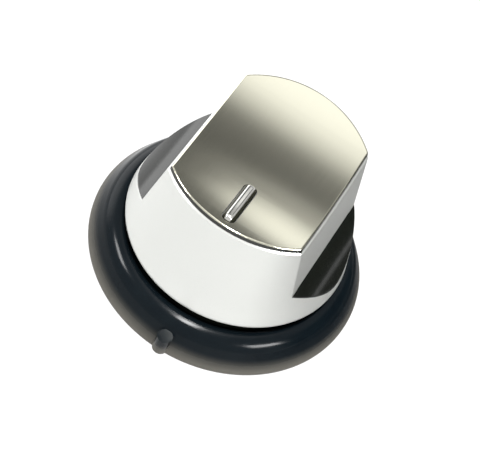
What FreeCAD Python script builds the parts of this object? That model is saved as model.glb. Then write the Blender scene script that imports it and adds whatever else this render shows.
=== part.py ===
import FreeCAD, Part
import Sketcher
import math
import os
import re
from FreeCAD import Vector

os.makedirs("parts", exist_ok=True)
document = FreeCAD.newDocument("OvenControlKnob")

# Driving dimensions in millimetres and degrees.
# Heights are above the panel face, across sizes are from the spindle's axis.
SIZES = {
    # Bezel ring
    "ring_width": 6.6,
    "ring_side": 0.6,
    "ring_wall": 1.6,
    "crown_radius": 4.0,
    "crown_height": 3.0,
    "crown_start": 28.0,
    "well_gap": 0.8,
    "well_wall": 1.4,
    "well_lip": 0.8,
    "channel_height": 5.0,
    "channel_side": 1.6,
    "web_base": 2.6,
    "web_thickness": 1.6,
    "collar_base": 1.8,
    "collar_top": 5.4,
    "collar_wall": 1.8,
    "stiffener_thickness": 1.0,
    "stiffener_lift": 0.4,
    "stiffener_root": 0.3,
    "bead_radius": 1.6,
    "bead_reach": 1.0,
    "bead_height": 4.6,
    "index_turn": 1.5,
    # Outer form of the knob
    "foot_radius": 24.0,
    "foot_gap": 2.4,
    "foot_band": 0.4,
    "flare_radius": 64.0,
    "waist_radius": 22.8,
    "waist_drop": 1.3,
    "face_draft": 6.0,
    "head_room": 7.4,
    "dish_height": 32.6,
    "dish_radius": 113.0,
    "crease_across": 17.6,
    "crease_height": 18.5,
    "side_draft": 10.3,
    "shoulder_radius": 17.8,
    "shoulder_foot": 11.0,
    "shoulder_reach": 0.2,
    "rear_corner": 1.3,
    "front_corner": 0.5,
    # Outer shell
    "shell_wall": 1.5,
    "deck_thickness": 1.5,
    "seam_chamfer": 0.4,
    "boss_radius": 2.6,
    "boss_offset": 9.5,
    "stake_radius": 1.4,
    "stake_gap": 0.1,
    "stake_head_radius": 2.2,
    "stake_head_height": 0.8,
    # Inner core
    "core_gap": 0.1,
    "core_wall": 1.6,
    "core_deck": 1.8,
    "core_lift": 0.3,
    "shoulder_lap": 0.3,
    "shoulder_inset": 0.06,
    "rib_thickness": 1.2,
    # Hub and spindle seat
    "hub_radius": 6.4,
    "hub_foot": 0.5,
    "bearing_gap": 0.2,
    "hook_reach": 0.7,
    "hook_play": 0.3,
    "hook_lead": 0.6,
    "slit_width": 1.4,
    "slit_height": 6.0,
    "lead_radius": 3.25,
    "seat_radius": 3.05,
    "seat_end": 16.6,
    "flat_start": 10.0,
    "flat_distance": 2.1,
    "spring_width": 3.6,
    "spring_thickness": 0.4,
    "spring_bow": 0.3,
    "spring_end_gap": 0.3,
    # Top plate and pointer
    "plate_thickness": 1.0,
    "plate_inset": 0.25,
    "plate_edge": 0.4,
    "slot_width": 3.0,
    "slot_front": 19.4,
    "slot_rear": 7.8,
    "bar_gap": 0.15,
    "bar_proud": 0.9,
    "bar_round": 1.1,
}

# Sizes that follow from the driving ones, written once.
CORE_INSET = "(shell_wall + core_gap)"
WELL_RADIUS = f"(foot_radius - {CORE_INSET} + well_gap)"
RING_RADIUS = f"({WELL_RADIUS} + ring_width)"
RING_HEIGHT = "(crown_height + crown_radius)"
CROWN_ACROSS = f"({WELL_RADIUS} + well_lip)"
WEB_TOP = "(web_base + web_thickness)"
COLLAR_RADIUS = "(hub_radius + bearing_gap)"
FOOT_HEIGHT = f"({RING_HEIGHT} + foot_gap)"
FLARE_HEIGHT = f"({FOOT_HEIGHT} + foot_band)"
CORE_BASE = "(collar_top + core_lift)"
WAIST_HEIGHT = "(crease_height - waist_drop)"
OVER_HEIGHT = "(dish_height + head_room)"
FACE_LEAN = f"(({OVER_HEIGHT} - {WAIST_HEIGHT}) * tan(face_draft))"
LAP_RADIUS = "(shoulder_radius - shoulder_lap)"
SHOULDER_END = "(foot_radius + shoulder_reach)"
DISH_CENTRE = "(dish_height + dish_radius)"

# The shoulder's round passes through the crease and through its foot on the skirt.
SHOULDER_RUN = f"({SHOULDER_END} - crease_across)"
SHOULDER_DROP = "(crease_height - shoulder_foot)"
SHOULDER_CHORD = f"sqrt({SHOULDER_RUN}^2 + {SHOULDER_DROP}^2)"
SHOULDER_RISE = f"sqrt(shoulder_radius^2 - {SHOULDER_CHORD}^2 / 4)"
SHOULDER_ACROSS = (f"((crease_across + {SHOULDER_END}) / 2"
                   f" - {SHOULDER_RISE} * {SHOULDER_DROP} / {SHOULDER_CHORD})")
SHOULDER_BASE = (f"((crease_height + shoulder_foot) / 2"
                 f" - {SHOULDER_RISE} * {SHOULDER_RUN} / {SHOULDER_CHORD})")


def shoulder_height(across, radius="shoulder_radius"):
    """Height of the rounded shoulder at a distance across."""
    return f"({SHOULDER_BASE} + sqrt(({radius})^2 - ({across} - {SHOULDER_ACROSS})^2))"


def shoulder_end(radius="shoulder_radius"):
    """Distance across at which the rounded shoulder comes down to its foot."""
    return f"({SHOULDER_ACROSS} + sqrt(({radius})^2 - (shoulder_foot - {SHOULDER_BASE})^2))"


def make_sheet():
    """Put every driving dimension in the spreadsheet under its alias."""
    sheet = document.addObject("Spreadsheet::Sheet", "Sizes")
    for row, (alias, value) in enumerate(SIZES.items(), start=1):
        sheet.set(f"A{row}", alias.replace("_", " "))
        sheet.set(f"B{row}", str(value))
        sheet.setAlias(f"B{row}", alias)
    document.recompute()
    return sheet


sheet = make_sheet()


def cells(expression):
    """Point each driving dimension in an expression at its spreadsheet cell."""
    return re.sub(r"[a-z]\w*", lambda word: "Sizes." + word[0] if word[0] in SIZES else word[0],
                  str(expression))


def number(expression):
    """Present value of an expression."""
    return float(sheet.evalExpression(cells(expression)))


def bind(item, field, expression):
    item.setExpression(field, cells(expression))


def new_body(label):
    body = document.addObject("PartDesign::Body", label)
    body.Label = label
    return body


def new_sketch(body, name, plane):
    """Empty sketch on one of the body's own origin planes."""
    sketch = body.newObject("Sketcher::SketchObject", name)
    support = next(item for item in body.Origin.OriginFeatures if item.Role == plane)
    sketch.AttachmentSupport = [(support, "")]
    sketch.MapMode = "FlatFace"
    return sketch


def pin_point(sketch, geometry, end, across, up):
    """Hold one sketch point at its two expressions."""
    for kind, axis, expression in (("DistanceX", -2, across), ("DistanceY", -1, up)):
        if str(expression) == "0":
            sketch.addConstraint(Sketcher.Constraint("PointOnObject", geometry, end, axis))
        else:
            index = sketch.addConstraint(
                Sketcher.Constraint(kind, -1, 1, geometry, end, number(expression)))
            bind(sketch, f"Constraints[{index}]", expression)


def arc_middle(start, finish, radius):
    """Middle point of an arc that bulges to the left of its travel, or right for a negative radius."""
    chord = finish - start
    half = chord.Length / 2
    rise = abs(radius) - math.sqrt(max(radius * radius - half * half, 0.0))
    left = Vector(-chord.y, chord.x, 0).normalize()
    return (start + finish) * 0.5 + left * math.copysign(rise, radius)


def outline(sketch, corners):
    """Closed outline through (across, up) corners. A third entry is the radius of the arc
    that leaves the corner, with a leading minus where it bulges to the right of travel."""
    points = [Vector(number(corner[0]), number(corner[1]), 0) for corner in corners]
    starts = []
    for place, corner in enumerate(corners):
        start = points[place]
        finish = points[(place + 1) % len(points)]
        if len(corner) == 2:
            geometry = sketch.addGeometry(Part.LineSegment(start, finish))
        else:
            middle = arc_middle(start, finish, number(corner[2]))
            geometry = sketch.addGeometry(Part.Arc(start, middle, finish))
        forward = (sketch.getPoint(geometry, 1) - start).Length < 1e-6
        starts.append((geometry, 1 if forward else 2))
    for place, (geometry, end) in enumerate(starts):
        following, following_end = starts[(place + 1) % len(starts)]
        sketch.addConstraint(Sketcher.Constraint("Coincident", geometry, 3 - end, following, following_end))
        pin_point(sketch, geometry, end, corners[place][0], corners[place][1])
        if len(corners[place]) == 3:
            radius = corners[place][2].lstrip("-")
            index = sketch.addConstraint(Sketcher.Constraint("Radius", geometry, number(radius)))
            bind(sketch, f"Constraints[{index}]", radius)


def circle(sketch, across, up, radius):
    geometry = sketch.addGeometry(
        Part.Circle(Vector(number(across), number(up), 0), Vector(0, 0, 1), number(radius)))
    pin_point(sketch, geometry, 3, across, up)
    index = sketch.addConstraint(Sketcher.Constraint("Radius", geometry, number(radius)))
    bind(sketch, f"Constraints[{index}]", radius)


def revolve(body, name, corners):
    """Turn a section, drawn across and up, about the spindle's axis."""
    sketch = new_sketch(body, name + "_section", "XZ_Plane")
    outline(sketch, corners)
    turn = body.newObject("PartDesign::Revolution", name)
    turn.Profile = sketch
    turn.ReferenceAxis = (sketch, ["V_Axis"])
    turn.Angle = 360
    document.recompute()
    return turn


def cut_across(body, name, plane, corners):
    """Cut a section right through the body, square to the plane it is drawn on."""
    sketch = new_sketch(body, name + "_section", plane)
    outline(sketch, corners)
    pocket = body.newObject("PartDesign::Pocket", name)
    pocket.Profile = sketch
    pocket.Type = "ThroughAll"
    pocket.SideType = "Symmetric"
    document.recompute()
    return pocket


def mirror_cut(body, pocket, name):
    """Repeat a cut on the other side of the knob."""
    copy = body.newObject("PartDesign::Mirrored", name)
    side_plane = next(item for item in body.Origin.OriginFeatures if item.Role == "YZ_Plane")
    copy.MirrorPlane = (side_plane, [""])
    copy.Originals = [pocket]
    body.Tip = copy
    document.recompute()
    return copy


def raise_pad(body, sketch, name, low, high):
    """Pad a sketch of the XY plane from one height to another."""
    bind(sketch, "AttachmentOffset.Base.z", low)
    pad = body.newObject("PartDesign::Pad", name)
    pad.Profile = sketch
    bind(pad, "Length", f"({high}) - ({low})")
    document.recompute()
    return pad


def edges_where(feature, test):
    """Names of the edges whose middle point passes a test."""
    names = []
    for place, edge in enumerate(feature.Shape.Edges, start=1):
        middle = edge.valueAt((edge.FirstParameter + edge.LastParameter) / 2)
        if test(edge, middle):
            names.append(f"Edge{place}")
    return names


def round_edges(body, base, name, edges, radius):
    fillet = body.newObject("PartDesign::Fillet", name)
    fillet.Base = (base, edges)
    bind(fillet, "Radius", radius)
    document.recompute()
    return fillet


def combine(kind, label, pieces):
    """Join, cut or intersect finished objects into a new one."""
    result = document.addObject(kind, label)
    result.Label = label
    if kind == "Part::MultiFuse":
        result.Shapes = pieces
    else:
        result.Base, result.Tool = pieces
    document.recompute()
    return result


def cylinder(label, radius, low, high, along="0"):
    """Upright cylinder at a distance along Y."""
    post = document.addObject("Part::Cylinder", label)
    post.Label = label
    bind(post, "Radius", radius)
    bind(post, "Height", f"({high}) - ({low})")
    bind(post, "Placement.Base.y", along)
    bind(post, "Placement.Base.z", low)
    return post


# Outer form of the knob, shared by the shell, the core and the plate.
def round_profile(inset, low, high):
    """Half section of the skirt from one height to another above the waist, drawn in by an inset."""
    return [("0", low),
            (f"foot_radius - {inset}", low),
            (f"foot_radius - {inset}", FLARE_HEIGHT, f"flare_radius + {inset}"),
            (f"waist_radius - {inset}", WAIST_HEIGHT),
            (f"waist_radius - {inset} - ({high} - {WAIST_HEIGHT}) * tan(face_draft)", high),
            ("0", high)]


def leaning_profile(inset, low):
    """Half section of the leaning faces alone, from a height above the waist upward."""
    return [("0", low),
            (f"waist_radius - {inset} - ({low} - {WAIST_HEIGHT}) * tan(face_draft)", low),
            (f"waist_radius - {inset} - {FACE_LEAN}", OVER_HEIGHT),
            ("0", OVER_HEIGHT)]


def dish_cut(body, name, drop):
    """Cut away what stands above the dished top, lowered by a drop."""
    half = RING_RADIUS
    radius = f"(dish_radius + {drop})"
    edge = f"{DISH_CENTRE} - sqrt({radius}^2 - {half}^2)"
    return cut_across(body, name, "YZ_Plane", [
        (f"-{half}", edge, f"-{radius}"),
        (half, edge),
        (half, f"{OVER_HEIGHT} + 5"),
        (f"-{half}", f"{OVER_HEIGHT} + 5")])


def under_cut(body, name, drop):
    """Cut away what lies below the dished top, lowered by a drop."""
    half = RING_RADIUS
    radius = f"(dish_radius + {drop})"
    edge = f"{DISH_CENTRE} - sqrt({radius}^2 - {half}^2)"
    return cut_across(body, name, "YZ_Plane", [
        (f"-{half}", edge, f"-{radius}"),
        (half, edge),
        (half, "0"),
        (f"-{half}", "0")])


def blade_side(inset, foot):
    """Points up the leaning side of the grip, from its foot to above the top."""
    return [(f"crease_across - {inset}", foot),
            (f"crease_across - {inset} - ({OVER_HEIGHT} - crease_height) * tan(side_draft)", OVER_HEIGHT),
            (RING_RADIUS, OVER_HEIGHT)]


def cut_over_shoulder(body, name, inset):
    """Cut both sides down to the rounded shoulder, drawn in by an inset."""
    radius = f"(shoulder_radius - {inset})"
    side = cut_across(body, name, "XZ_Plane", [
        ("crease_across", OVER_HEIGHT),
        ("crease_across", shoulder_height("crease_across", radius), radius),
        (shoulder_end(radius), "shoulder_foot"),
        (RING_RADIUS, "shoulder_foot"),
        (RING_RADIUS, OVER_HEIGHT)])
    return mirror_cut(body, side, name + "_left")


def round_blade_corners(body, base, name, inset):
    """Round the upright corners of the grip, gently at the rear and crisply at the front."""
    lowest = number("crease_height")
    shortest = number("(dish_height - crease_height) / 2")

    def upright(rear):
        def test(edge, middle):
            ends = [vertex.Point for vertex in edge.Vertexes]
            steep = len(ends) == 2 and abs(ends[0].z - ends[1].z) > shortest
            return steep and middle.z > lowest and (middle.y > 0) == rear
        return test

    rear = round_edges(body, base, name + "_rear", edges_where(base, upright(True)),
                       f"rear_corner - {inset}")
    front = round_edges(body, rear, name + "_front", edges_where(rear, upright(False)),
                        "front_corner")
    return front


# Bezel ring: the fixed moulding that the knob turns in.
def make_bezel_ring():
    body = new_body("bezel_ring")
    revolve(body, "ring", [
        (RING_RADIUS, "0"),
        (RING_RADIUS, "ring_side"),
        (f"{CROWN_ACROSS} + crown_radius * cos(crown_start)",
         "crown_height + crown_radius * sin(crown_start)", "-crown_radius"),
        (CROWN_ACROSS, RING_HEIGHT, "-well_lip"),
        (WELL_RADIUS, f"{RING_HEIGHT} - well_lip"),
        (WELL_RADIUS, WEB_TOP),
        (f"{COLLAR_RADIUS} + collar_wall", WEB_TOP),
        (f"{COLLAR_RADIUS} + collar_wall", "collar_top"),
        (COLLAR_RADIUS, "collar_top"),
        (COLLAR_RADIUS, "collar_base"),
        (f"{COLLAR_RADIUS} + collar_wall", "collar_base"),
        (f"{COLLAR_RADIUS} + collar_wall", "web_base"),
        (f"{WELL_RADIUS} - ring_wall", "web_base"),
        (f"{WELL_RADIUS} - ring_wall", "0"),
        (f"{WELL_RADIUS} + well_wall", "0"),
        (f"{WELL_RADIUS} + well_wall", "channel_height"),
        (f"{RING_RADIUS} - ring_wall", "channel_side"),
        (f"{RING_RADIUS} - ring_wall", "0")])
    bead_sketch = new_sketch(body, "bead_section", "XY_Plane")
    along = f"({RING_RADIUS} + bead_reach - bead_radius)"
    circle(bead_sketch, f"{along} * sin(index_turn)", f"-{along} * cos(index_turn)", "bead_radius")
    raise_pad(body, bead_sketch, "index_bead", "0", "bead_height")
    rib_sketch = new_sketch(body, "stiffener_section", "XZ_Plane")
    outline(rib_sketch, [
        (f"{WELL_RADIUS} + well_wall / 2", "stiffener_lift"),
        (f"{RING_RADIUS} - ring_wall + stiffener_root", "stiffener_lift"),
        (f"{RING_RADIUS} - ring_wall + stiffener_root", "channel_side + stiffener_root"),
        (f"{WELL_RADIUS} + well_wall / 2", "channel_height + well_wall / 2")])
    rib = body.newObject("PartDesign::Pad", "stiffener")
    rib.Profile = rib_sketch
    rib.SideType = "Symmetric"
    bind(rib, "Length", "stiffener_thickness")
    pattern = body.newObject("PartDesign::PolarPattern", "stiffeners")
    pattern.Axis = (rib_sketch, ["V_Axis"])
    pattern.Angle = 360
    pattern.Occurrences = 12
    pattern.Originals = [rib]
    body.Tip = pattern
    document.recompute()
    return body


# Outer shell: the silver moulding with the flared skirt and the blade grip.
def make_skirt():
    """Flared skirt up to the crease, cut away on both sides where the shoulders come through."""
    skirt = new_body("skirt")
    revolve(skirt, "skirt_round", round_profile("0", FOOT_HEIGHT, "crease_height"))
    cut_over_shoulder(skirt, "skirt_shoulder", "shoulder_lap")
    return skirt


def make_grip():
    """Blade-shaped grip above the crease, with leaning sides under a dished deck."""
    grip = new_body("grip")
    revolve(grip, "grip_faces", leaning_profile("0", "crease_height"))
    side = cut_across(grip, "grip_side", "XZ_Plane",
                      blade_side("0", "crease_height") + [(RING_RADIUS, "crease_height")])
    mirror_cut(grip, side, "grip_side_left")
    dished = dish_cut(grip, "deck_dish", "plate_thickness")
    rounded = round_blade_corners(grip, dished, "grip_corner", "0")
    deck_low = number("dish_height - plate_thickness") - 0.5
    rim = edges_where(rounded, lambda edge, middle: edge.BoundBox.ZMin > deck_low)
    seam = grip.newObject("PartDesign::Chamfer", "seam")
    seam.Base = (rounded, rim)
    bind(seam, "Size", "seam_chamfer")
    document.recompute()
    return grip


def make_outer_shell():
    form = combine("Part::MultiFuse", "shell_form", [make_skirt(), make_grip()])
    hollow = new_body("shell_hollow")
    revolve(hollow, "room", round_profile("shell_wall", f"{FOOT_HEIGHT} - 1", OVER_HEIGHT))
    side = cut_across(hollow, "room_side", "XZ_Plane",
                      blade_side("shell_wall", "crease_height") + [(RING_RADIUS, "crease_height")])
    mirror_cut(hollow, side, "room_side_left")
    dish_cut(hollow, "room_dish", "plate_thickness + deck_thickness")
    walls = combine("Part::Cut", "shell_walls", (form, hollow))

    posts = [walls]
    deck_base = "crease_height - core_deck"
    for side_name, along in (("front", "-boss_offset"), ("rear", "boss_offset")):
        posts.append(cylinder(f"boss_{side_name}", "boss_radius", "crease_height",
                              "dish_height - plate_thickness - deck_thickness / 2", along))
        posts.append(cylinder(f"stake_{side_name}", "stake_radius", deck_base,
                              "crease_height + 1", along))
        posts.append(cylinder(f"stake_head_{side_name}", "stake_head_radius",
                              f"{deck_base} - stake_head_height", deck_base, along))
    return combine("Part::MultiFuse", "outer_shell", posts)


# Inner core: the black moulding with both shoulders, the deck, the ribs and the snap-in hub.
def make_shoulder():
    """Shoulder skin that comes out flush with the skirt on one side of the grip."""
    band = new_body("shoulder_band")
    revolve(band, "band_round", round_profile("shoulder_inset", FOOT_HEIGHT, OVER_HEIGHT))
    inner = "(crease_across + shoulder_inset)"
    cut_across(band, "band_inner", "XZ_Plane", [
        (inner, "0"),
        (inner, f"{OVER_HEIGHT} + 1"),
        (f"-{RING_RADIUS}", f"{OVER_HEIGHT} + 1"),
        (f"-{RING_RADIUS}", "0")])
    start = "(crease_across - 1)"
    cut_across(band, "band_over", "XZ_Plane", [
        (start, f"{OVER_HEIGHT} + 1"),
        (start, shoulder_height(start), "shoulder_radius"),
        (SHOULDER_END, "shoulder_foot"),
        (RING_RADIUS, "shoulder_foot"),
        (RING_RADIUS, f"{OVER_HEIGHT} + 1")])
    cut_across(band, "band_under", "XZ_Plane", [
        (start, "0"),
        (RING_RADIUS, "0"),
        (RING_RADIUS, "shoulder_foot"),
        (shoulder_end(LAP_RADIUS), "shoulder_foot", f"-{LAP_RADIUS}"),
        (start, shoulder_height(start, LAP_RADIUS))])
    return band


def make_hub():
    """Snap-in hub: a tube whose hooks catch under the bezel's collar."""
    body = new_body("hub")
    turn = revolve(body, "hub_turned", [
        ("0", "hub_foot"),
        ("hub_radius - 0.3", "hub_foot"),
        ("hub_radius + hook_reach", "hub_foot + hook_lead"),
        ("hub_radius + hook_reach", "collar_base - hook_play"),
        ("hub_radius", "collar_base - hook_play"),
        ("hub_radius", "crease_height - core_deck / 2"),
        ("0", "crease_height - core_deck / 2")])
    slit = new_sketch(body, "slit_section", "XY_Plane")
    outline(slit, [
        ("-hub_radius - 2", "-slit_width / 2"),
        ("hub_radius + 2", "-slit_width / 2"),
        ("hub_radius + 2", "slit_width / 2"),
        ("-hub_radius - 2", "slit_width / 2")])
    cut = body.newObject("PartDesign::Pocket", "slit")
    cut.Profile = slit
    cut.Reversed = True
    bind(cut, "Length", "slit_height")
    document.recompute()
    return body


def make_spindle_way():
    """Room for the spindle: a round lead-in, then a seat with one flat."""
    body = new_body("spindle_way")
    round_way = new_sketch(body, "round_way_section", "XY_Plane")
    circle(round_way, "0", "0", "lead_radius")
    raise_pad(body, round_way, "round_way", "hub_foot - 1", "flat_start")
    seat = new_sketch(body, "seat_section", "XY_Plane")
    half = "sqrt(seat_radius^2 - flat_distance^2)"
    outline(seat, [
        (half, "flat_distance"),
        (f"-{half}", "flat_distance", "-seat_radius"),
        ("0", "-seat_radius", "-seat_radius")])
    raise_pad(body, seat, "seat", "flat_start - 0.01", "seat_end")
    return body


def make_inner_core():
    puck = new_body("core_puck")
    revolve(puck, "puck", round_profile(CORE_INSET, CORE_BASE, "crease_height"))
    cut_over_shoulder(puck, "puck_shoulder", "0")
    right = make_shoulder()
    left = document.addObject("Part::Mirroring", "shoulder_band_left")
    left.Source = right
    left.Normal = Vector(1, 0, 0)
    document.recompute()
    blank = combine("Part::MultiFuse", "core_blank", [puck, right, left])

    hollow = new_body("core_hollow")
    revolve(hollow, "core_room", round_profile(f"({CORE_INSET} + core_wall)", f"{CORE_BASE} - 1",
                                              "(crease_height - core_deck)"))
    cut_over_shoulder(hollow, "core_room_shoulder", "core_deck")
    star = new_body("rib_star")
    rib_sketch = new_sketch(star, "rib_section", "XY_Plane")
    outline(rib_sketch, [
        (f"-{RING_RADIUS}", "-rib_thickness / 2"),
        (RING_RADIUS, "-rib_thickness / 2"),
        (RING_RADIUS, "rib_thickness / 2"),
        (f"-{RING_RADIUS}", "rib_thickness / 2")])
    rib = raise_pad(star, rib_sketch, "rib", CORE_BASE, OVER_HEIGHT)
    ribs = star.newObject("PartDesign::PolarPattern", "ribs")
    ribs.Axis = (rib_sketch, ["N_Axis"])
    ribs.Angle = 360
    ribs.Occurrences = 6
    ribs.Originals = [rib]
    star.Tip = ribs
    document.recompute()
    cells_between_ribs = combine("Part::Cut", "core_cells", (hollow, star))
    ribbed = combine("Part::Cut", "core_ribbed", (blank, cells_between_ribs))
    whole = combine("Part::MultiFuse", "core_whole", [ribbed, make_hub()])

    stake_holes = [cylinder(f"stake_hole_{name}", "stake_radius + stake_gap",
                            "crease_height - core_deck - 1", "crease_height + 1", along)
                   for name, along in (("front", "-boss_offset"), ("rear", "boss_offset"))]
    holes = combine("Part::MultiFuse", "core_holes", [make_spindle_way()] + stake_holes)
    return combine("Part::Cut", "inner_core", (whole, holes))


# Spindle spring: a bowed steel leaf that stands on the seat's flat.
def make_spindle_spring():
    body = new_body("spindle_spring")
    sketch = new_sketch(body, "leaf_section", "YZ_Plane")
    low = "flat_start + spring_end_gap"
    high = "seat_end - spring_end_gap"
    half = "((seat_end - flat_start) / 2 - spring_end_gap)"
    radius = f"(({half}^2 + spring_bow^2) / (2 * spring_bow))"
    outline(sketch, [
        ("flat_distance", low, f"{radius}"),
        ("flat_distance", high),
        ("flat_distance - spring_thickness", high, f"-({radius} + spring_thickness)"),
        ("flat_distance - spring_thickness", low)])
    pad = body.newObject("PartDesign::Pad", "leaf")
    pad.Profile = sketch
    pad.SideType = "Symmetric"
    bind(pad, "Length", "spring_width")
    document.recompute()
    return body


# Top plate: the satin metal sheet on the dished deck.
def slot_outline(sketch, inset):
    """Round-ended slot along the pointer line, drawn in by an inset."""
    half = f"(slot_width / 2 - {inset})"
    front = "(-slot_front + slot_width / 2)"
    rear = "(-slot_rear - slot_width / 2)"
    outline(sketch, [
        (half, front),
        (half, rear, f"-{half}"),
        ("0", f"{rear} + {half}", f"-{half}"),
        (f"-{half}", rear),
        (f"-{half}", front, f"-{half}"),
        ("0", f"{front} - {half}", f"-{half}")])


def make_top_plate():
    body = new_body("top_plate")
    revolve(body, "plate_faces", leaning_profile("plate_inset", "crease_height + 1"))
    side = cut_across(body, "plate_side", "XZ_Plane",
                      blade_side("plate_inset", "crease_height") + [(RING_RADIUS, "crease_height")])
    mirror_cut(body, side, "plate_side_left")
    dished = dish_cut(body, "plate_dish", "0")
    rounded = round_blade_corners(body, dished, "plate_corner", "plate_inset")
    rim_low = number("dish_height") - 0.5
    rim = edges_where(rounded, lambda edge, middle: edge.BoundBox.ZMin > rim_low)
    round_edges(body, rounded, "plate_rim", rim, "plate_edge")
    slot = new_sketch(body, "slot_section", "XY_Plane")
    slot_outline(slot, "0")
    pocket = body.newObject("PartDesign::Pocket", "pointer_slot")
    pocket.Profile = slot
    pocket.Type = "ThroughAll"
    pocket.SideType = "Symmetric"
    document.recompute()
    under_cut(body, "plate_under", "plate_thickness")
    return body


# Pointer bar: the bright bar let into the plate's slot, standing on the deck.
def make_pointer_bar():
    body = new_body("pointer_bar")
    sketch = new_sketch(body, "bar_section", "XY_Plane")
    slot_outline(sketch, "bar_gap")
    raise_pad(body, sketch, "bar", "dish_height - plate_thickness - 1", OVER_HEIGHT)
    under_cut(body, "bar_seat", "plate_thickness")
    crown = dish_cut(body, "bar_crown", "-bar_proud")
    crown_low = number("dish_height + bar_proud") - 0.1
    rim = edges_where(crown, lambda edge, middle: edge.BoundBox.ZMin > crown_low)
    round_edges(body, crown, "bar_rounding", rim, "bar_round")
    return body


def check_document():
    """Stop if any object failed to build."""
    for item in document.Objects:
        if "Invalid" in item.State or "Error" in item.State:
            raise RuntimeError(f"{item.Label} failed to build")
        shape = getattr(item, "Shape", None)
        if shape is not None and hasattr(item, "Placement") and item.isDerivedFrom("Part::Feature"):
            if not item.isDerivedFrom("Sketcher::SketchObject") and not item.Name.startswith("Origin"):
                if shape.isNull() or not shape.isValid():
                    raise RuntimeError(f"{item.Label} has no valid shape")


PARTS = [make_bezel_ring(), make_outer_shell(), make_inner_core(), make_spindle_spring(),
         make_top_plate(), make_pointer_bar()]
document.recompute()
check_document()
for sub_part in PARTS:
    sub_part.Shape.exportStep(f"parts/{sub_part.Label}.step")
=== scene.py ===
from math import cos, radians, sin

import bpy
from mathutils import Matrix, Vector

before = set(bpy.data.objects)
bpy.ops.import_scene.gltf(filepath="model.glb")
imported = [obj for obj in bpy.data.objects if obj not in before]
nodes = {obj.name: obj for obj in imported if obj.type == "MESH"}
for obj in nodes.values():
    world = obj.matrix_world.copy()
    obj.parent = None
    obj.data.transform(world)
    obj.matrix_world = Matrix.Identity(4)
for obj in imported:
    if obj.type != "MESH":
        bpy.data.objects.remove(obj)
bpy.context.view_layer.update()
scene = bpy.context.scene


# Bezel ring. A navy-black moulding that lies on the panel and holds the knob captive by its
# collar. Its crown is polished, while the sloping flank below is matt and carries a painted
# reflection of the pale floor, lighter and warmer.
crown_tones = (0.002, 0.004, 0.006), (0.004, 0.007, 0.009)
crown_roughness = 0.13, 0.18
# The flank's lighter, warmer tones are a painted reflection of the pale floor.
painted_floor_reflection_tones = (0.085, 0.081, 0.070), (0.110, 0.104, 0.090)
flank_roughness = 0.42, 0.52
bezel_grain_depth = 0.000006
# Heights between which the flank's matt finish and painted floor reflection give way to the crown's.
flank_height, crown_height = 0.0002, 0.0036


def new_material(name):
    """Empty node material with its Principled shader joined to the output."""
    material = bpy.data.materials.new(name)
    material.use_nodes = True
    tree = material.node_tree
    tree.nodes.clear()
    output = tree.nodes.new("ShaderNodeOutputMaterial")
    shader = tree.nodes.new("ShaderNodeBsdfPrincipled")
    tree.links.new(shader.outputs["BSDF"], output.inputs["Surface"])
    return material, tree, shader


def object_place(tree, scale=(1, 1, 1)):
    """Object coordinates, stretched by a scale."""
    place = tree.nodes.new("ShaderNodeTexCoord")
    mapping = tree.nodes.new("ShaderNodeMapping")
    mapping.inputs["Scale"].default_value = scale
    tree.links.new(place.outputs["Object"], mapping.inputs["Vector"])
    return mapping.outputs["Vector"]


def coordinate(tree, kind, axis):
    """One axis of the piece's own place, in metres, or of the way that its surface faces."""
    place = tree.nodes.new("ShaderNodeTexCoord")
    axes = tree.nodes.new("ShaderNodeSeparateXYZ")
    tree.links.new(place.outputs[kind], axes.inputs[0])
    return axes.outputs[axis]


def noise(tree, place, scale, detail):
    """Even cloudy pattern from 0 to 1."""
    texture = tree.nodes.new("ShaderNodeTexNoise")
    texture.inputs["Scale"].default_value = scale
    texture.inputs["Detail"].default_value = detail
    tree.links.new(place, texture.inputs["Vector"])
    return texture.outputs["Fac"]


def spread(tree, value, low, high):
    """A 0 to 1 value spread between two limits."""
    limits = tree.nodes.new("ShaderNodeMapRange")
    limits.inputs["To Min"].default_value = low
    limits.inputs["To Max"].default_value = high
    tree.links.new(value, limits.inputs["Value"])
    return limits.outputs["Result"]


def smooth_step(tree, value, first, last, least=0.0):
    """Runs softly from the least level, where the value is the first, to 1 where it is the last."""
    step = tree.nodes.new("ShaderNodeMapRange")
    step.interpolation_type = "SMOOTHSTEP"
    step.inputs["From Min"].default_value = first
    step.inputs["From Max"].default_value = last
    step.inputs["To Min"].default_value = least
    tree.links.new(value, step.inputs["Value"])
    return step.outputs["Result"]


def two_tones(tree, value, first, second):
    """Colour that runs from one tone to another with a value."""
    mix = tree.nodes.new("ShaderNodeMix")
    mix.data_type = "RGBA"
    mix.inputs["A"].default_value = (*first, 1)
    mix.inputs["B"].default_value = (*second, 1)
    tree.links.new(value, mix.inputs["Factor"])
    return mix.outputs["Result"]


def blend(tree, value, first, second):
    """Two values or colours blended by a 0 to 1 value."""
    mix = tree.nodes.new("ShaderNodeMix")
    mix.data_type = "RGBA"
    tree.links.new(value, mix.inputs["Factor"])
    tree.links.new(first, mix.inputs["A"])
    tree.links.new(second, mix.inputs["B"])
    return mix.outputs["Result"]


def relief(tree, shader, height, depth):
    """Fine unevenness of a moulded or sprayed skin, its depth in metres."""
    bump = tree.nodes.new("ShaderNodeBump")
    bump.inputs["Distance"].default_value = depth
    tree.links.new(height, bump.inputs["Height"])
    tree.links.new(bump.outputs["Normal"], shader.inputs["Normal"])


def dress(piece, material):
    """Give a piece one material all over."""
    piece.data.materials.clear()
    piece.data.materials.append(material)


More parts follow.
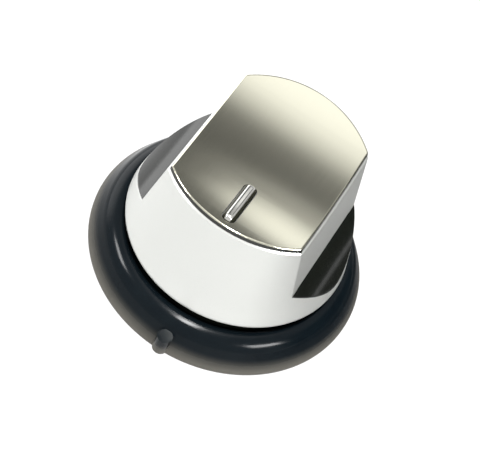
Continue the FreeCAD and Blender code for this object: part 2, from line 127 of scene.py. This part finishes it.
def bezel_plastic():
    """Navy-black plastic, polished on the crown, matt at the ring's foot, where a painted reflection of the
    floor makes it lighter and warmer.
    """
    material, tree, shader = new_material("bezel_plastic")
    place = object_place(tree)
    tone = noise(tree, place, scale=260, detail=3)
    haze = noise(tree, place, scale=900, detail=2)
    above = smooth_step(tree, coordinate(tree, "Object", "Z"), flank_height, crown_height)
    # Below the crown, the colour is a painted reflection of the pale floor.
    colour = blend(tree, above, two_tones(tree, tone, *painted_floor_reflection_tones), two_tones(tree, tone, *crown_tones))
    finish = blend(tree, above, spread(tree, haze, *flank_roughness), spread(tree, haze, *crown_roughness))
    tree.links.new(colour, shader.inputs["Base Color"])
    tree.links.new(finish, shader.inputs["Roughness"])
    shader.inputs["Specular IOR Level"].default_value = 0.15
    relief(tree, shader, noise(tree, place, scale=700, detail=1), bezel_grain_depth)
    return material


dress(nodes["bezel_ring"], bezel_plastic())


# Inner core. A black moulding that carries the hub, the ribs and both rounded shoulders.
# It snaps into the bezel's collar from the front and is staked to the shell's bosses.
core_tones = (0.004, 0.005, 0.004), (0.007, 0.008, 0.006)
core_roughness = 0.14, 0.20
core_grain_depth = 0.000003


def core_plastic():
    """Glossy black plastic."""
    material, tree, shader = new_material("core_plastic")
    place = object_place(tree)
    tone = noise(tree, place, scale=300, detail=2)
    haze = noise(tree, place, scale=700, detail=2)
    tree.links.new(two_tones(tree, tone, *core_tones), shader.inputs["Base Color"])
    tree.links.new(spread(tree, haze, *core_roughness), shader.inputs["Roughness"])
    shader.inputs["IOR"].default_value = 1.54
    relief(tree, shader, noise(tree, place, scale=700, detail=1), core_grain_depth)
    return material


dress(nodes["inner_core"], core_plastic())


# Spindle spring. A bowed leaf of blank spring steel, stamped with its grain lengthways.
# It stands on the flat of the hub's seat and presses on the spindle.
spring_tones = (0.36, 0.36, 0.37), (0.52, 0.52, 0.52)
spring_roughness = 0.25, 0.42
spring_grain_stretch = (1, 1, 0.05)


def spring_steel():
    """Blank steel with upright grain."""
    material, tree, shader = new_material("spring_steel")
    grain = noise(tree, object_place(tree, spring_grain_stretch), scale=9000, detail=3)
    shader.inputs["Metallic"].default_value = 1.0
    tree.links.new(two_tones(tree, grain, *spring_tones), shader.inputs["Base Color"])
    tree.links.new(spread(tree, grain, *spring_roughness), shader.inputs["Roughness"])
    return material


dress(nodes["spindle_spring"], spring_steel())


# Outer shell. The silver moulding with the flared skirt and the blade grip, sprayed with a
# satin lacquer that holds fine flakes.
silver_tones = (0.67, 0.68, 0.65), (0.75, 0.76, 0.73)
silver_roughness = 0.26, 0.34
flake_depth = 0.000003


def silver_lacquer():
    """Silver lacquer that varies a little from flake to flake."""
    material, tree, shader = new_material("silver_lacquer")
    flake = noise(tree, object_place(tree), scale=9000, detail=1)
    tree.links.new(two_tones(tree, flake, *silver_tones), shader.inputs["Base Color"])
    shader.inputs["Metallic"].default_value = 0.65
    tree.links.new(spread(tree, flake, *silver_roughness), shader.inputs["Roughness"])
    relief(tree, shader, flake, flake_depth)
    return material


dress(nodes["outer_shell"], silver_lacquer())


# Top plate. A thin satin-nickel plate that follows the dished deck up to its rim. Its edge
# is painted dark as the shade of the seam above the silver wall, and its face is brushed front to rear.
nickel_tones = (0.70, 0.685, 0.56), (0.74, 0.725, 0.60)
# Dark tones on the plate's edge are painted shade of the seam.
painted_shade_edge_tones = (0.010, 0.011, 0.009), (0.018, 0.018, 0.015)
nickel_roughness = 0.10, 0.14
brush_stretch = (1, 0.03, 0.03)
edge_facing, face_facing = 0.55, 0.72


def satin_nickel():
    """Brushed nickel where the surface faces up, and painted shade where it turns aside."""
    material, tree, shader = new_material("satin_nickel")
    brush = noise(tree, object_place(tree, brush_stretch), scale=5000, detail=2)
    upward = smooth_step(tree, coordinate(tree, "Normal", "Z"), edge_facing, face_facing)
    # Where the surface turns aside, the colour is painted shade.
    colour = blend(tree, upward, two_tones(tree, brush, *painted_shade_edge_tones), two_tones(tree, brush, *nickel_tones))
    tree.links.new(colour, shader.inputs["Base Color"])
    tree.links.new(upward, shader.inputs["Metallic"])
    tree.links.new(spread(tree, brush, *nickel_roughness), shader.inputs["Roughness"])
    return material


dress(nodes["top_plate"], satin_nickel())


# Pointer bar. A bright plated bar let into the plate's slot. Only its crown is polished, and
# its flanks are painted dark as shade, so that it reads as a light stroke between two dark ones.
plated_tones = (0.80, 0.79, 0.74), (0.88, 0.87, 0.83)
# Dark tones on the bar's flanks are painted shade.
painted_shade_flank_tones = (0.012, 0.012, 0.008), (0.022, 0.022, 0.015)
plated_roughness = 0.08, 0.14
dark_facing, plated_facing = 0.52, 0.34


def bright_plating():
    """Bright plating on the crown, and painted shade where the surface faces left or right."""
    material, tree, shader = new_material("bright_plating")
    haze = noise(tree, object_place(tree), scale=1800, detail=2)
    aside = tree.nodes.new("ShaderNodeMath")
    aside.operation = "ABSOLUTE"
    tree.links.new(coordinate(tree, "Normal", "X"), aside.inputs[0])
    plated = smooth_step(tree, aside.outputs[0], dark_facing, plated_facing)
    # On the flanks the colour is painted shade.
    colour = blend(tree, plated, two_tones(tree, haze, *painted_shade_flank_tones),
                   two_tones(tree, haze, *plated_tones))
    tree.links.new(colour, shader.inputs["Base Color"])
    tree.links.new(plated, shader.inputs["Metallic"])
    tree.links.new(spread(tree, haze, *plated_roughness), shader.inputs["Roughness"])
    shader.inputs["Specular IOR Level"].default_value = 0.1
    return material


dress(nodes["pointer_bar"], bright_plating())


# Floor. A plain pale sheet just under the bezel. It takes the soft shadow and is nearly white
# to the eye. In reflections it is white, apart from a dark round patch to the right.
floor_reach, floor_drop = 8.0, -0.0001
floor_tone = (0.9, 0.9, 0.9, 1)
white_share = 0.75
patch_place = (0.10, 0.04, 0)
patch_inner, patch_outer = 0.065, 0.11
patch_level = 0.05


def pale_floor():
    """Matt pale paper, with a look of its own for the eye and for reflections."""
    material, tree, paper = new_material("pale_floor")
    paper.inputs["Base Color"].default_value = floor_tone
    paper.inputs["Roughness"].default_value = 1.0
    paper.inputs["Specular IOR Level"].default_value = 0.0

    place = tree.nodes.new("ShaderNodeTexCoord")
    away = tree.nodes.new("ShaderNodeVectorMath")
    away.operation = "DISTANCE"
    away.inputs[1].default_value = patch_place
    tree.links.new(place.outputs["Object"], away.inputs[0])
    mirrored = tree.nodes.new("ShaderNodeEmission")
    tree.links.new(smooth_step(tree, away.outputs["Value"], patch_inner, patch_outer, patch_level),
                   mirrored.inputs["Strength"])

    rays = tree.nodes.new("ShaderNodeLightPath")
    share = tree.nodes.new("ShaderNodeMath")
    share.operation = "MULTIPLY"
    share.inputs[1].default_value = white_share
    tree.links.new(rays.outputs["Is Camera Ray"], share.inputs[0])
    white = tree.nodes.new("ShaderNodeEmission")
    seen = tree.nodes.new("ShaderNodeMixShader")
    tree.links.new(share.outputs[0], seen.inputs["Fac"])
    tree.links.new(paper.outputs["BSDF"], seen.inputs[1])
    tree.links.new(white.outputs["Emission"], seen.inputs[2])

    look = tree.nodes.new("ShaderNodeMixShader")
    tree.links.new(rays.outputs["Is Glossy Ray"], look.inputs["Fac"])
    tree.links.new(seen.outputs["Shader"], look.inputs[1])
    tree.links.new(mirrored.outputs["Emission"], look.inputs[2])
    output = next(node for node in tree.nodes if node.type == "OUTPUT_MATERIAL")
    tree.links.new(look.outputs["Shader"], output.inputs["Surface"])
    return material


floor_mesh = bpy.data.meshes.new("floor")
floor_corners = [(side * floor_reach, end * floor_reach, floor_drop)
                 for side, end in ((-1, -1), (1, -1), (1, 1), (-1, 1))]
floor_mesh.from_pydata(floor_corners, [], [(0, 1, 2, 3)])
floor = bpy.data.objects.new("floor", floor_mesh)
scene.collection.objects.link(floor)
dress(floor, pale_floor())


# Studio. A pale room with a dark backdrop behind the object and two lighter patches in it, a
# bright ceiling, a dark flag on the right and a bright card at the left rear. Three small
# lamps add the highlights.
room_tone = (0.8, 0.8, 0.8, 1)
room_level = 0.82

# Round cards, each laid over those before it: azimuth, elevation, the radius up to which it is
# even and the radius at which it has faded, all in degrees, and its level.
room_cards = {
    "dark_backdrop": (191, 40, 4, 26, 0.17),
    "grey_patch": (183, 43, 0.5, 5.5, 0.6),
    "bright_patch": (183, 38.5, 0.5, 4.6, 1.8),
    "ceiling": (192, 76, 10, 22.5, 1.8),
    "right_flag": (116, 16, 26, 42, 0.04),
    "left_rear_card": (236, 8, 18, 38, 3.6),
}
lamp_distance, lamp_diffuse = 0.7, 0.1


def toward(azimuth, elevation):
    """Unit direction seen from the object. Azimuth 0 is the camera's side, 90 the right."""
    a, e = radians(azimuth), radians(elevation)
    return Vector((sin(a) * cos(e), -cos(a) * cos(e), sin(e)))


def studio_world():
    """The room that lights the object and shows in its gloss, and plain white for the eye."""
    world = bpy.data.worlds.new("studio")
    world.use_nodes = True
    tree = world.node_tree
    tree.nodes.clear()
    place = tree.nodes.new("ShaderNodeTexCoord")
    level = None
    for azimuth, elevation, inner, outer, brightness in room_cards.values():
        facing = tree.nodes.new("ShaderNodeVectorMath")
        facing.operation = "DOT_PRODUCT"
        facing.inputs[1].default_value = toward(azimuth, elevation)
        tree.links.new(place.outputs["Generated"], facing.inputs[0])
        cover = smooth_step(tree, facing.outputs["Value"], cos(radians(outer)), cos(radians(inner)))
        mix = tree.nodes.new("ShaderNodeMix")
        mix.inputs["A"].default_value = room_level
        mix.inputs["B"].default_value = brightness
        tree.links.new(cover, mix.inputs["Factor"])
        if level is not None:
            tree.links.new(level, mix.inputs["A"])
        level = mix.outputs["Result"]

    room = tree.nodes.new("ShaderNodeBackground")
    room.inputs["Color"].default_value = room_tone
    tree.links.new(level, room.inputs["Strength"])
    plain = tree.nodes.new("ShaderNodeBackground")
    plain.inputs["Color"].default_value = (1, 1, 1, 1)
    rays = tree.nodes.new("ShaderNodeLightPath")
    look = tree.nodes.new("ShaderNodeMixShader")
    output = tree.nodes.new("ShaderNodeOutputWorld")
    tree.links.new(rays.outputs["Is Camera Ray"], look.inputs["Fac"])
    tree.links.new(room.outputs[0], look.inputs[1])
    tree.links.new(plain.outputs[0], look.inputs[2])
    tree.links.new(look.outputs["Shader"], output.inputs["Surface"])
    return world


def soft_box(name, azimuth, elevation, width, height, watts):
    """Area lamp that faces the object, with its width along the horizon."""
    lamp = bpy.data.lights.new(name, "AREA")
    lamp.shape = "RECTANGLE"
    lamp.size = width
    lamp.size_y = height
    lamp.energy = watts
    lamp.diffuse_factor = lamp_diffuse
    box = bpy.data.objects.new(name, lamp)
    box.location = toward(azimuth, elevation) * lamp_distance
    box.rotation_mode = "QUATERNION"
    box.rotation_quaternion = box.location.to_track_quat("Z", "Y")
    scene.collection.objects.link(box)


scene.world = studio_world()
soft_box("lamp_right", azimuth=69, elevation=37, width=0.24, height=0.15, watts=3.2)
soft_box("lamp_top", azimuth=2, elevation=85, width=0.07, height=0.22, watts=3.4)
soft_box("lamp_left", azimuth=282, elevation=46, width=0.20, height=0.12, watts=2.0)


# Camera. Its place, turn and lens bring the ring's outline and the skirt's lower edge onto
# the photograph's.
camera_azimuth, camera_elevation, camera_roll = 6.977, 53.065, 27.505
camera_distance, camera_lens = 0.3054, 107.78
camera_target = Vector((0.000612, 0.003526, 0.002575))

back = toward(camera_azimuth, camera_elevation)
right = toward(camera_azimuth + 90, 0)
up = back.cross(right)
roll = radians(camera_roll)
camera_x = cos(roll) * right + sin(roll) * up
camera_y = cos(roll) * up - sin(roll) * right
camera_turn = Matrix((camera_x, camera_y, back)).transposed().to_4x4()

lens = bpy.data.cameras.new("camera")
lens.sensor_width = 36.0
lens.lens = camera_lens
lens.clip_start = 0.01
lens.clip_end = 20
camera = bpy.data.objects.new("camera", lens)
camera.matrix_world = Matrix.Translation(camera_target + back * camera_distance) @ camera_turn
scene.collection.objects.link(camera)
scene.camera = camera
scene.view_settings.view_transform = "Standard"
